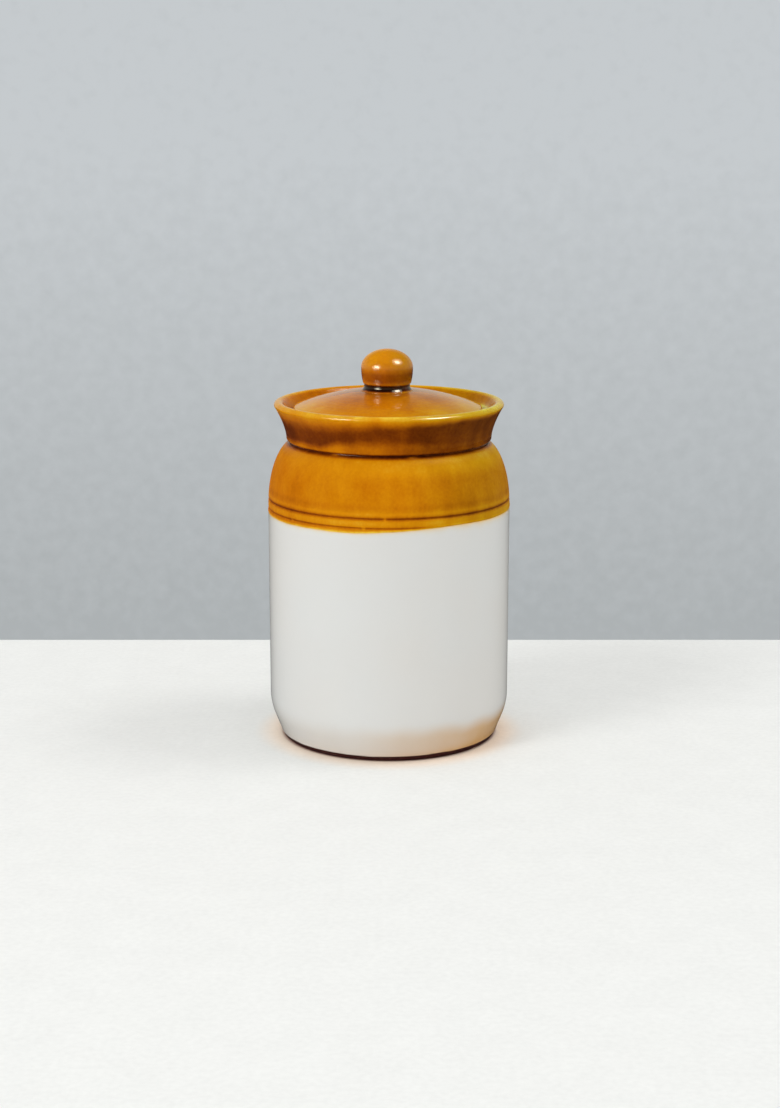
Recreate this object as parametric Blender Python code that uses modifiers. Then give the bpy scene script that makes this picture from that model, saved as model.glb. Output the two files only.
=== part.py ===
# Stoneware pickle jar with a loose domed lid. Metres, +Z up, standing on z = 0 with its axis on Z.
# The visible surface sets the sizes: the clay under a glaze coat is worked out from it.

from math import cos, hypot, pi, radians, sin, sqrt

import bpy

# Fits and coats
FIT_GAP = 0.0003            # between pieces that touch or rest on each other
GLAZE = 0.0005              # thickness of the amber glaze coats
RING_CLEARANCE = 0.0012     # lid's locating ring to the throat
LID_SIDE_CLEARANCE = 0.0010 # lid's edge to the foot of the collar's inner face

# Jar, outside
BODY_RADIUS = 0.0540
SHOULDER_START = 0.1060     # height where the wall starts to turn in
CREASE_HEIGHT = 0.1336      # height where the shoulder meets the collar
SHOULDER_SWEEP = 75.0       # degrees of its ellipse that the shoulder runs through
CREASE_OPENING = 0.0007
COLLAR_HEIGHT = 0.0186      # crease to the top of the lip
COLLAR_FOOT_RADIUS = 0.0454
COLLAR_FLARE = 1.6          # 1 is a straight cone, more opens out later
BEAD_ROUND = 0.0012         # rounding of the collar's lower edge
LIP_RADIUS = 0.0510
LIP_ROUND = 0.0021
LIP_TILT = 35.0             # degrees that both faces of the collar lean out at the lip
GROOVE_HEIGHT = 0.1088      # the upper of the two turned grooves
GROOVE_SPACING = 0.0041
GROOVE_WIDTH = 0.0012
GROOVE_DEPTH = 0.00045
DIP_BELOW_GROOVE = 0.0019   # lower groove to the edge of the amber glaze
DIP_LEAN = 0.0007           # how much higher that edge is at +X, and lower at -X
BEVEL_HEIGHT = 0.0128       # height where the lines of the bevel and the wall cross
BEVEL_INSET = 0.0055
BEVEL_ROUND = 0.0042
FOOT_ROUND = 0.0013
FOOT_RING_WIDTH = 0.0065
FOOT_RECESS = 0.0020
RECESS_DRAFT = 0.0010

# Jar, inside
WALL = 0.0050
FLOOR = 0.0060
FLOOR_ROUND = 0.0090
THROAT_RADIUS = 0.0395
THROAT_BELOW_CREASE = 0.0028
LEDGE_BELOW_LIP = 0.0065
LEDGE_WIDTH = 0.0035
LEDGE_ROUND = 0.0008

# Lid, heights from its seat
LID_EDGE = 0.0035           # thickness at the edge
LID_EDGE_ROUND = 0.0011
LID_BARE_EDGE = 0.0008      # foot of the edge, wiped clean of glaze
LID_DOME_RISE = 0.0078
LID_WALL = 0.0055
RING_DEPTH = 0.0080
RING_WALL = 0.0040
RING_ROUND = 0.0010

# Knob, heights from its flat base
KNOB_HEIGHT = 0.0189
KNOB_RADIUS = 0.0115
KNOB_EQUATOR = 0.0108
KNOB_FOOT_RADIUS = 0.0113
KNOB_FOOT_HEIGHT = 0.0006
KNOB_COVE_RADIUS = 0.0100   # where the cove between foot and ball aims
KNOB_COVE_HEIGHT = 0.0027
KNOB_TUCK_RADIUS = 0.0108
KNOB_TUCK_HEIGHT = 0.0043

# Facets
ROUND_STEPS = 48
KNOB_STEPS = 36
SMOOTH_ANGLE = 40.0

# Places that follow from the sizes
LIP_HEIGHT = CREASE_HEIGHT + COLLAR_HEIGHT
LEDGE_HEIGHT = LIP_HEIGHT - LEDGE_BELOW_LIP
LEDGE_RADIUS = THROAT_RADIUS + LEDGE_WIDTH
CREASE_RADIUS = COLLAR_FOOT_RADIUS - BEAD_ROUND
GROOVES = (GROOVE_HEIGHT, GROOVE_HEIGHT - GROOVE_SPACING)
DIP_HEIGHT = GROOVES[1] - DIP_BELOW_GROOVE
UNDER_GLAZE = GLAZE + FIT_GAP
FLOOR_HEIGHT = FOOT_RECESS + FLOOR
LID_SEAT = LEDGE_HEIGHT + FIT_GAP
LID_RADIUS = LEDGE_RADIUS - LID_SIDE_CLEARANCE
RING_RADIUS = THROAT_RADIUS - RING_CLEARANCE
KNOB_HOLE_RADIUS = KNOB_FOOT_RADIUS + FIT_GAP

# Colour, roughness
WHITE_GLAZE = ((0.69, 0.69, 0.66), 0.18)
AMBER_GLAZE = ((0.56, 0.21, 0.006), 0.10)


# Lines are lists of (radius, height) points, with the clay on their right

def arc(centre, radius, start, end, steps):
    """Points round a centre, from one angle in degrees to another."""
    turns = [radians(start + (end - start) * i / steps) for i in range(steps + 1)]
    return [(centre[0] + radius * cos(t), centre[1] + radius * sin(t)) for t in turns]


def curve(start, aim, end, steps):
    """A curve that leaves start towards aim and reaches end from it."""
    points = []
    for i in range(steps + 1):
        t = i / steps
        parts = ((1 - t) ** 2, 2 * t * (1 - t), t ** 2)
        points.append(tuple(sum(w * p[k] for w, p in zip(parts, (start, aim, end))) for k in (0, 1)))
    return points


def towards(point, target, reach):
    """The point that lies this far along the way to a target."""
    share = reach / hypot(target[0] - point[0], target[1] - point[1])
    return tuple(a + (b - a) * share for a, b in zip(point, target))


def rounded(before, corner, after, reach, steps):
    """A corner between two straight lines, rounded over this reach along each."""
    return curve(towards(corner, before, reach), corner, towards(corner, after, reach), steps)


def inset(points, depth):
    """The same line this deep in the clay. A steep end is cut level, a flat one plumb."""
    normals = []
    for (r0, z0), (r1, z1) in zip(points, points[1:]):
        length = hypot(r1 - r0, z1 - z0)
        normals.append(((z1 - z0) / length, (r0 - r1) / length))
    moves = []
    for a, b in zip(normals, normals[1:]):
        share = depth / (1 + a[0] * b[0] + a[1] * b[1])
        moves.append(((a[0] + b[0]) * share, (a[1] + b[1]) * share))
    ends = []
    for n in (normals[0], normals[-1]):
        ends.append((depth / n[0], 0.0) if abs(n[0]) > abs(n[1]) else (0.0, depth / n[1]))
    moves = [ends[0]] + moves + [ends[1]]
    return [(p[0] + m[0], p[1] + m[1]) for p, m in zip(points, moves)]


def shoulder_radius(height, wide, narrow, top):
    """Radius at a height on a wall that turns in, along an ellipse, to a narrow top."""
    sweep = radians(SHOULDER_SWEEP)
    across = (wide - narrow) / (1 - cos(sweep))
    up = (top - SHOULDER_START) / sin(sweep)
    rise = max(0.0, height - SHOULDER_START) / up
    return wide - across * (1 - sqrt(1 - rise ** 2))


def shoulder_heights(top, steps):
    """Heights down a shoulder, closer together where it turns."""
    sweep = radians(SHOULDER_SWEEP)
    up = (top - SHOULDER_START) / sin(sweep)
    return [SHOULDER_START + up * sin(sweep * i / steps) for i in range(steps, -1, -1)]


def shoulder_line(steps):
    """Down the outside from the crease past both grooves."""
    def outside(height):
        return shoulder_radius(height, BODY_RADIUS, CREASE_RADIUS, CREASE_HEIGHT)

    heights = shoulder_heights(CREASE_HEIGHT, steps)
    clear = [h for h in heights if all(abs(h - g) > 0.75 * GROOVE_WIDTH for g in GROOVES)]
    points = [(outside(h), h) for h in clear]
    for groove in GROOVES:
        edges = (groove + GROOVE_WIDTH / 2, groove - GROOVE_WIDTH / 2)
        points += [(outside(h), h) for h in edges]
        points.append((outside(groove) - GROOVE_DEPTH, groove))
    return sorted(points, key=lambda point: -point[1])


def collar_line(inner_end, fine):
    """Up the collar's inner face, over the lip and down the outside to the crease."""
    lip_steps, side_steps, bead_steps = (6, 4, 3) if fine else (3, 3, 2)
    lip_centre = (LIP_RADIUS - LIP_ROUND, LIP_HEIGHT - LIP_ROUND)
    lip = arc(lip_centre, LIP_ROUND, 180 - LIP_TILT, -LIP_TILT, lip_steps)
    bead_centre = (CREASE_RADIUS, CREASE_HEIGHT + CREASE_OPENING + BEAD_ROUND)
    bead = arc(bead_centre, BEAD_ROUND, 0, -90, bead_steps)
    lean = (lip[0][0] - LEDGE_RADIUS) / (lip[0][1] - LEDGE_HEIGHT)
    line = [(LEDGE_RADIUS + lean * (inner_end - LEDGE_HEIGHT), inner_end)] + lip
    top, foot = lip[-1], bead[0]
    for i in range(side_steps - 1, 0, -1):
        up = i / side_steps
        line.append((foot[0] + (top[0] - foot[0]) * up ** COLLAR_FLARE, foot[1] + (top[1] - foot[1]) * up))
    return line + bead


def amber_line(inner_end, dip_end, fine):
    """The jar's surface under amber glaze, from the ledge to the dip line."""
    shoulder = shoulder_line(8 if fine else 5)
    return collar_line(inner_end, fine) + shoulder + [(BODY_RADIUS, dip_end)]


def foot_line():
    """From the wall down the bevel, under the foot ring and across the recess."""
    wall = (BODY_RADIUS, DIP_HEIGHT)
    bevel = (BODY_RADIUS, BEVEL_HEIGHT)
    foot = (BODY_RADIUS - BEVEL_INSET, 0.0)
    ring = (foot[0] - FOOT_RING_WIDTH, 0.0)
    line = rounded(wall, bevel, foot, BEVEL_ROUND, 4)
    line += rounded(bevel, foot, ring, FOOT_ROUND, 3)
    return line + [ring, (ring[0] - RECESS_DRAFT, FOOT_RECESS), (0.0, FOOT_RECESS)]


def inside_line():
    """From the middle of the floor up the inside to the ledge."""
    inner = BODY_RADIUS - WALL
    top = CREASE_HEIGHT - THROAT_BELOW_CREASE
    floor = (inner, FLOOR_HEIGHT)
    line = [(0.0, FLOOR_HEIGHT)]
    line += rounded((0.0, FLOOR_HEIGHT), floor, (inner, SHOULDER_START), FLOOR_ROUND, 4)
    for height in reversed(shoulder_heights(top, 5)):
        line.append((shoulder_radius(height, inner, THROAT_RADIUS, top), height))
    corner = (THROAT_RADIUS, LEDGE_HEIGHT)
    return line + rounded(line[-1], corner, (LEDGE_RADIUS, LEDGE_HEIGHT), LEDGE_ROUND, 2)


def dome_height(radius):
    """Height of the lid's upper face above its seat."""
    return LID_EDGE + LID_DOME_RISE * (1 - (radius / LID_RADIUS) ** 2)


def lid_line(fine):
    """The lid's glazed face, from the knob's foot outward and down the edge."""
    steps = 6 if fine else 3
    radii = [KNOB_HOLE_RADIUS + (LID_RADIUS - KNOB_HOLE_RADIUS) * i / steps for i in range(steps + 1)]
    dome = [(r, dome_height(r)) for r in radii]
    edge = (LID_RADIUS, LID_BARE_EDGE)
    return dome[:-1] + rounded(dome[-2], dome[-1], edge, LID_EDGE_ROUND, steps // 2) + [edge]


def lid_under_line():
    """Under the lid: seat, locating ring and the hollow up to its middle."""
    inner = RING_RADIUS - RING_WALL
    line = [(LID_RADIUS - UNDER_GLAZE, 0.0), (RING_RADIUS, 0.0)]
    low = (RING_RADIUS, -RING_DEPTH), (inner, -RING_DEPTH)
    line += rounded(line[-1], low[0], low[1], RING_ROUND, 2)
    line += rounded(low[0], low[1], (inner, 0.0), RING_ROUND, 2)
    steps = 4
    radii = [inner * (1 - i / steps) for i in range(steps + 1)]
    return line + [(r, dome_height(r) - LID_WALL) for r in radii]


def knob_line():
    """Down the knob: ball, tuck, cove, foot and flat base."""
    steps = 6
    line = []
    for i in range(steps + 1):
        t = pi / 2 * (1 - i / steps)
        line.append((KNOB_RADIUS * cos(t) if i else 0.0, KNOB_EQUATOR + (KNOB_HEIGHT - KNOB_EQUATOR) * sin(t)))
    for down in (0.5, 0.8):
        radius = KNOB_RADIUS - (KNOB_RADIUS - KNOB_TUCK_RADIUS) * down ** 2
        line.append((radius, KNOB_EQUATOR - (KNOB_EQUATOR - KNOB_TUCK_HEIGHT) * down))
    tuck = (KNOB_TUCK_RADIUS, KNOB_TUCK_HEIGHT)
    foot = (KNOB_FOOT_RADIUS, KNOB_FOOT_HEIGHT)
    line += curve(tuck, (KNOB_COVE_RADIUS, KNOB_COVE_HEIGHT), foot, 5)
    return line + [(KNOB_FOOT_RADIUS, 0.0), (0.0, 0.0)]


# Building

def clear_scene():
    for old in list(bpy.data.objects):
        bpy.data.objects.remove(old, do_unlink=True)


def glaze(name, look):
    """A glossy glaze with its own colour and roughness."""
    colour, roughness = look
    material = bpy.data.materials.new(name)
    material.use_nodes = True
    shader = material.node_tree.nodes["Principled BSDF"]
    shader.inputs["Base Color"].default_value = (*colour, 1.0)
    shader.inputs["Roughness"].default_value = roughness
    shader.inputs["Metallic"].default_value = 0.0
    return material


def turned(name, line, look, steps=ROUND_STEPS, carrier=None):
    """A piece turned from a line. One that leaves and meets the axis is solid, another is a ring."""
    count = len(line)
    ring = line[0][0] > 0
    edges = [(i, (i + 1) % count) for i in range(count if ring else count - 1)]
    profile = bpy.data.meshes.new(name + "_profile")
    profile.from_pydata([(r, 0.0, z) for r, z in line], edges, [])
    lathe = bpy.data.objects.new(name + "_profile", profile)
    jar.objects.link(lathe)
    screw = lathe.modifiers.new("turn", "SCREW")
    screw.steps = steps
    screw.render_steps = steps
    screw.use_merge_vertices = True
    screw.merge_threshold = 0.00001
    evaluated = lathe.evaluated_get(bpy.context.evaluated_depsgraph_get())
    mesh = bpy.data.meshes.new_from_object(evaluated)
    bpy.data.objects.remove(lathe)
    bpy.data.meshes.remove(profile)
    mesh.name = name
    mesh.shade_smooth()
    mesh.set_sharp_from_angle(angle=radians(SMOOTH_ANGLE))
    mesh.materials.append(glaze(name, look))
    piece = bpy.data.objects.new(name, mesh)
    piece.parent = carrier
    jar.objects.link(piece)
    return piece


def lean_dip_line(piece, height):
    """Tilts the ring of points at this height, as a hand tilts a jar that it dips."""
    for point in piece.data.vertices:
        if abs(point.co.z - height) < 0.000001:
            point.co.z += DIP_LEAN * point.co.x / BODY_RADIUS


def make_jar():
    hidden = inset(amber_line(LEDGE_HEIGHT, DIP_HEIGHT - FIT_GAP, False), UNDER_GLAZE)
    step = [(BODY_RADIUS, DIP_HEIGHT - FIT_GAP)]
    body = turned("jar_body", inside_line() + hidden + step + foot_line(), WHITE_GLAZE)
    lean_dip_line(body, DIP_HEIGHT - FIT_GAP)

    inner_end = LEDGE_HEIGHT + FIT_GAP
    shown = amber_line(inner_end, DIP_HEIGHT, True)
    back = inset(amber_line(inner_end, DIP_HEIGHT, False), GLAZE)
    coat = turned("jar_amber_glaze", shown + back[::-1], AMBER_GLAZE)
    lean_dip_line(coat, DIP_HEIGHT)


def make_lid():
    lift = bpy.data.objects.new("lid_lift", None)
    lift.location = (0.0, 0.0, LID_SEAT)
    jar.objects.link(lift)

    hidden = inset(lid_line(False), UNDER_GLAZE)
    knob_seat = hidden[0][1]
    turned("lid_body", [(0.0, knob_seat)] + hidden + lid_under_line(), WHITE_GLAZE, carrier=lift)

    back = inset(lid_line(False), GLAZE)
    turned("lid_amber_glaze", lid_line(True) + back[::-1], AMBER_GLAZE, carrier=lift)

    knob = turned("lid_knob", knob_line(), AMBER_GLAZE, KNOB_STEPS, lift)
    knob.location = (0.0, 0.0, knob_seat + FIT_GAP)


clear_scene()
jar = bpy.data.collections.new("pickle_jar")
bpy.context.scene.collection.children.link(jar)
make_jar()
make_lid()
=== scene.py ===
# Two-tone stoneware pickle jar with a loose lid, in its glazes, standing on a pale table.
# The Blender file is in metres with +Z up. Sizes in the dictionaries are millimetres and degrees.

from math import cos, exp, hypot, pi, radians, sin, sqrt

import bpy
import numpy as np
from mathutils import Matrix, Vector, noise


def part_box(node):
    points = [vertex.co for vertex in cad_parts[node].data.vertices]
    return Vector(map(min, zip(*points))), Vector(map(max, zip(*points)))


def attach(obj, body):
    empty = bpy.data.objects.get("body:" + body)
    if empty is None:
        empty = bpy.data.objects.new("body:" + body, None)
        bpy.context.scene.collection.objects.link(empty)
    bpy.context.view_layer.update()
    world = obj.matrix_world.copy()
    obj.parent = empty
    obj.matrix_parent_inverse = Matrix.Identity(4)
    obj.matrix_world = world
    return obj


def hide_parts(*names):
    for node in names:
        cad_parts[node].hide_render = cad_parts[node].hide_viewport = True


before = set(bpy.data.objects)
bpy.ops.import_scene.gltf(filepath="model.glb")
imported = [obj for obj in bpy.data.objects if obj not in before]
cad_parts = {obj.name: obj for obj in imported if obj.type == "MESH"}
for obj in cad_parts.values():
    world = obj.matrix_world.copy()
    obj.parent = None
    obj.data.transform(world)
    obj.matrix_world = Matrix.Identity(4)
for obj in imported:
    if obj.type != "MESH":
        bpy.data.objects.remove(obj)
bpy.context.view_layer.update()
print("frame loaded:", ", ".join(sorted(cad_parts)))


# Lines. A line is a list of (radius, height) points with the clay on its right

def arcLine(centre, radius, start, end, steps):
    turns = [radians(start + (end - start) * i / steps) for i in range(steps + 1)]
    return [(centre[0] + radius * cos(t), centre[1] + radius * sin(t)) for t in turns]


def curveLine(start, aim, end, steps):
    # leaves start towards aim and reaches end from it
    points = []
    for i in range(steps + 1):
        t = i / steps
        weights = ((1 - t) ** 2, 2 * t * (1 - t), t ** 2)
        points.append(tuple(sum(w * p[k] for w, p in zip(weights, (start, aim, end))) for k in (0, 1)))
    return points


def straightLine(start, end, steps):
    return [(start[0] + (end[0] - start[0]) * i / steps, start[1] + (end[1] - start[1]) * i / steps)
            for i in range(steps + 1)]


def roundedCorner(before, corner, after, reach, steps):
    # rounds a corner over this reach along both of its sides
    ends = []
    for side in (before, after):
        share = reach / hypot(side[0] - corner[0], side[1] - corner[1])
        ends.append((corner[0] + (side[0] - corner[0]) * share, corner[1] + (side[1] - corner[1]) * share))
    return curveLine(ends[0], corner, ends[1], steps)


def outwardNormals(points):
    along = np.gradient(points, axis=0)
    along /= np.maximum(np.hypot(along[:, 0], along[:, 1]), 1e-9)[:, None]
    return np.stack([-along[:, 1], along[:, 0]], 1)


def sunkLine(line, depth):
    # the same line this deep in the clay
    points = np.array(line)
    return [tuple(p) for p in points - outwardNormals(points) * depth]


def smoothStep(value, start, end):
    t = np.clip((value - start) / (end - start), 0.0, 1.0)
    return t * t * (3 - 2 * t)


def wander(angle, lobes, seed):
    # smooth noise round the jar, from about -0.5 to 0.5
    return noise.noise(Vector((cos(angle) * lobes, sin(angle) * lobes, seed)))


def azimuthOf(angle):
    return (angle * 180 / pi + 180) % 360 - 180


# Turning

def turnOnWheel(name, lineAt, columns, shades, ring=False):
    # lineAt(angle) gives the line at an angle, always with the same number of points. A ring closes on
    # itself, another line leaves and meets the axis. A shade gives a value for each point of that line
    angles = [2 * pi * i / columns for i in range(columns)]
    lines = np.array([lineAt(angle) for angle in angles]) / 1000
    count = lines.shape[1]
    places, column, row, rows = [], [], [], []
    for j in range(count):
        turns = 1 if lines[0, j, 0] < 1e-6 else columns  # a point on the axis is made once
        rows.append([len(places)] * columns if turns == 1 else range(len(places), len(places) + columns))
        for i in range(turns):
            radius, height = lines[i, j]
            places.append((radius * cos(angles[i]), radius * sin(angles[i]), height))
            column.append(i)
            row.append(j)
    faces = []
    for j in range(count if ring else count - 1):
        here, after = rows[j], rows[(j + 1) % count]
        for i in range(columns):
            k = (i + 1) % columns
            faces.append(list(dict.fromkeys([here[i], after[i], after[k], here[k]])))
    mesh = bpy.data.meshes.new(name)
    mesh.from_pydata(places, [], faces)
    mesh.validate()
    mesh.shade_smooth()
    for shade, valuesAt in shades.items():
        values = np.array([valuesAt(angle) for angle in angles], np.float32)
        layer = mesh.attributes.new(shade, "FLOAT", "POINT")
        layer.data.foreach_set("value", values[column, row])
    piece = bpy.data.objects.new(name, mesh)
    bpy.context.scene.collection.objects.link(piece)
    return piece


def fitPiece(piece, material, body, node):
    piece.data.materials.append(material)
    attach(piece, body)
    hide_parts(node)
    print("made", piece.name, len(piece.data.polygons), "faces")


# The jar's shape, read from the frame where it says

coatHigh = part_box("jar_amber_glaze")[1] * 1000
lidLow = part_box("lid_body")[0] * 1000
knobLow, knobHigh = (corner * 1000 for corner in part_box("lid_knob"))

jarShape = {
    "wallRadius": coatHigh.x,
    "lipHeight": coatHigh.z,
    "wallMiddle": 60.0,         # any height on the straight wall
    "shoulderStart": 106.0,
    "crease": 134.0,
    "shoulderSweep": 75.0,
    "creaseRound": 0.36,
    "collarFoot": 45.6,
    "collarFlare": 1.6,
    "beadRound": 1.2,
    "lipRadius": 51.0,
    "lipRound": 2.1,
    "lipDepth": 1.6,
    "lipTilt": 35.0,
    "grooves": (108.8, 104.7),
    "grooveWidth": 1.1,
    "grooveDepth": 0.45,
    "bevelHeight": 14.6,
    "bevelInset": 5.8,
    "bevelRound": 5.0,
    "footRound": 1.3,
    "footRing": 6.5,
    "footRecess": 2.0,
    "recessDraft": 1.0,
    "recessRounds": (0.5, 0.8),  # at its edge and at its floor
    "wall": 5.0,
    "floorHeight": 8.0,
    "floorRound": 9.0,
    "throatRadius": 39.5,
    "throatBelowCrease": 2.8,
    "ledgeHeight": 145.7,
    "ledgeRadius": 43.0,
    "ledgeRound": 0.8,
}
creaseRadius = jarShape["collarFoot"] - jarShape["beadRound"]

thrown = {  # how far the wheel-thrown jar is from round and level
    "oval": 0.10,
    "threeLobed": 0.05,
    "grows": (10.0, 150.0),     # heights from which and to which it goes out of round
    "lipWave": 0.10,
    "waveGrows": (135.0, 152.0),
    "steady": 20.0,             # radius inside which it fades out
}


def handThrown(angle, radius, height):
    # the small wobble that all layers of the jar share
    high = smoothStep(height, *thrown["grows"])
    drift = high * (thrown["oval"] * cos(2 * angle + 0.7) + thrown["threeLobed"] * cos(3 * angle - 1.1))
    lift = thrown["lipWave"] * sin(angle + 0.4) * smoothStep(height, *thrown["waveGrows"])
    return radius + drift * min(1.0, radius / thrown["steady"]), height + lift


def shoulderRadius(height, wide, narrow, top):
    sweep = radians(jarShape["shoulderSweep"])
    across = (wide - narrow) / (1 - cos(sweep))
    up = (top - jarShape["shoulderStart"]) / sin(sweep)
    rise = max(0.0, height - jarShape["shoulderStart"]) / up
    return wide - across * (1 - sqrt(max(0.0, 1 - rise ** 2)))


def outsideRadius(height, filled=0.0):
    # wall and shoulder, with both turned grooves. Glaze can fill part of the lower one
    radius = shoulderRadius(height, jarShape["wallRadius"], creaseRadius, jarShape["crease"])
    for groove, depth in zip(jarShape["grooves"], (1.0, 1.0 - filled)):
        away = (height - groove) / (jarShape["grooveWidth"] / 2)
        radius -= depth * jarShape["grooveDepth"] * exp(-away ** 4)
    return radius


flareRows = 32  # rows down the collar's outside


def collarLine(innerEnd):
    # up the collar's inner face, over the lip, down the outside and through the crease
    lipCentre = jarShape["lipRadius"] - jarShape["lipRound"]
    tilt, flat = jarShape["lipTilt"], jarShape["lipDepth"] / jarShape["lipRound"]
    lip = [(r, jarShape["lipHeight"] - jarShape["lipDepth"] + flat * h)
           for r, h in arcLine((lipCentre, 0.0), jarShape["lipRound"], 180 - tilt, -tilt, 24)]
    creaseTop = jarShape["crease"] + 2 * jarShape["creaseRound"]
    beadCentre = (creaseRadius, creaseTop + jarShape["beadRound"])
    bead = arcLine(beadCentre, jarShape["beadRound"], 0, -90, 10)
    creaseCentre = (creaseRadius, creaseTop - jarShape["creaseRound"])
    crease = arcLine(creaseCentre, jarShape["creaseRound"], 90, 270, 8)
    lean = (lip[0][0] - jarShape["ledgeRadius"]) / (lip[0][1] - jarShape["ledgeHeight"])
    start = (jarShape["ledgeRadius"] + lean * (innerEnd - jarShape["ledgeHeight"]), innerEnd)
    outer = []
    for i in range(flareRows - 1, 0, -1):
        up = i / flareRows
        outer.append((bead[0][0] + (lip[-1][0] - bead[0][0]) * up ** jarShape["collarFlare"],
                      bead[0][1] + (lip[-1][1] - bead[0][1]) * up))
    return straightLine(start, lip[0], 10)[:-1] + lip + outer + bead[:-1] + crease[:-1]


# Amber glaze on the jar

amberCoat = {
    "edgeLow": 102.7,           # where the jar was dipped to, at the left of the photograph
    "edgeHigh": 104.9,          # and at its right, where the edge reaches the lower groove
    "riseFrom": -112.0,         # azimuths where the edge rises, from +X
    "riseTo": -56.0,
    "fallFrom": 35.0,
    "fallTo": 150.0,
    "edgeWave": 0.24,
    "edgeThickness": 0.16,      # how proud the rolled edge stands
    "edgeRoll": 0.40,           # its height
    "edgeFade": 2.6,
    "grooveFill": 0.85,
    "aboveLedge": 0.3,          # how far above the ledge it ends inside the collar
    "band": 112.0,              # below this height the rows follow the dip edge
    "bandRows": 64,
    "shoulderRows": 44,
    "backing": 0.25,            # thickness of the coat
    "columns": 420,
}
dropReach = 9.0  # degrees to each side that a drop reaches at most
glazeDrops = (  # beads of glaze that bridge the turned lines
    # azimuth, height, half width, half height, how proud
    (-91.8, 109.0, 0.60, 0.75, 0.34),
    (-101.5, 104.9, 0.70, 0.75, 0.36),
    (-141.0, 104.8, 0.50, 0.60, 0.25),
    (64.0, 109.0, 0.60, 0.75, 0.30),
    (-121.0, 134.1, 1.80, 0.40, 0.40),
    (-77.5, 133.9, 1.80, 0.40, 0.45),
    (48.0, 134.0, 1.60, 0.40, 0.35),
    (151.0, 134.1, 2.20, 0.40, 0.40),
)


def edgeRise(angle):
    # 1 where the dip edge is highest, 0 where it is lowest
    azimuth = azimuthOf(angle)
    risen = smoothStep(azimuth, amberCoat["riseFrom"], amberCoat["riseTo"])
    return risen - smoothStep(azimuth, amberCoat["fallFrom"], amberCoat["fallTo"])


def dipEdge(angle):
    # height of the amber glaze's lower edge round the jar
    level = amberCoat["edgeLow"] + (amberCoat["edgeHigh"] - amberCoat["edgeLow"]) * edgeRise(angle)
    return level + amberCoat["edgeWave"] * (wander(angle, 2.2, 4.0) + 0.4 * wander(angle, 14.0, 2.0))


def dropsNear(angle):
    return [drop for drop in glazeDrops if abs(azimuthOf(angle - radians(drop[0]))) < dropReach]


def dropHere(angle, radius, height, drop):
    # 1 in the middle of a drop of glaze, 0 away from it
    azimuth, middle, across, up = drop[:4]
    turn = (angle - radians(azimuth) + pi) % (2 * pi) - pi
    return exp(-(turn * radius / across) ** 2 - ((height - middle) / up) ** 2)


def besideAngle(angle, azimuth, halfWidth):
    # 1 at an azimuth, fading to 0 away from it
    return exp(-(azimuthOf(angle - radians(azimuth)) / halfWidth) ** 2)


def besideHeight(height, middle, halfWidth):
    return np.exp(-((height - middle) / halfWidth) ** 2)


sideFull = 0.64  # share of the jar's radius at which a side counts in full


def sideOf(angle):
    # -1 at the left of the photograph, 0 in its middle and at the back, 1 at its right
    return np.clip(cos(angle) / sideFull, -1.0, 1.0)


def shoulderHeight(share):
    # from the crease down to the band, with the rows closer together at the crease
    return jarShape["crease"] + (amberCoat["band"] - jarShape["crease"]) * share ** 1.15


sharedCollar = collarLine(jarShape["ledgeHeight"] + amberCoat["aboveLedge"])
lipTop = max(range(len(sharedCollar)), key=lambda i: sharedCollar[i][1])
shoulderHeights = [shoulderHeight(i / amberCoat["shoulderRows"]) for i in range(amberCoat["shoulderRows"])]


def coatFront(angle):
    edge, filled = dipEdge(angle), amberCoat["grooveFill"] * edgeRise(angle)
    line = list(sharedCollar)
    line += [(outsideRadius(h), h) for h in shoulderHeights]
    for i in range(amberCoat["bandRows"] + 1):
        height = amberCoat["band"] + (edge - amberCoat["band"]) * i / amberCoat["bandRows"]
        above = height - edge
        roll = sqrt(1 - (1 - min(above / amberCoat["edgeRoll"], 1.0)) ** 2)
        fade = 1 - smoothStep(above, amberCoat["edgeRoll"], amberCoat["edgeFade"])
        line.append((outsideRadius(height, filled) + amberCoat["edgeThickness"] * roll * fade, height))
    for drop in dropsNear(angle):
        line[lipTop:] = [(r + drop[4] * dropHere(angle, r, h, drop), h) for r, h in line[lipTop:]]
    return line


def coatLine(angle):
    shown = [handThrown(angle, *point) for point in coatFront(angle)]
    return shown + sunkLine(shown, amberCoat["backing"])[::-1]


def faceAndBack(values):
    # the same values for the face of a coat and, in reverse, for its back
    return np.concatenate([values, values[::-1]])


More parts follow.
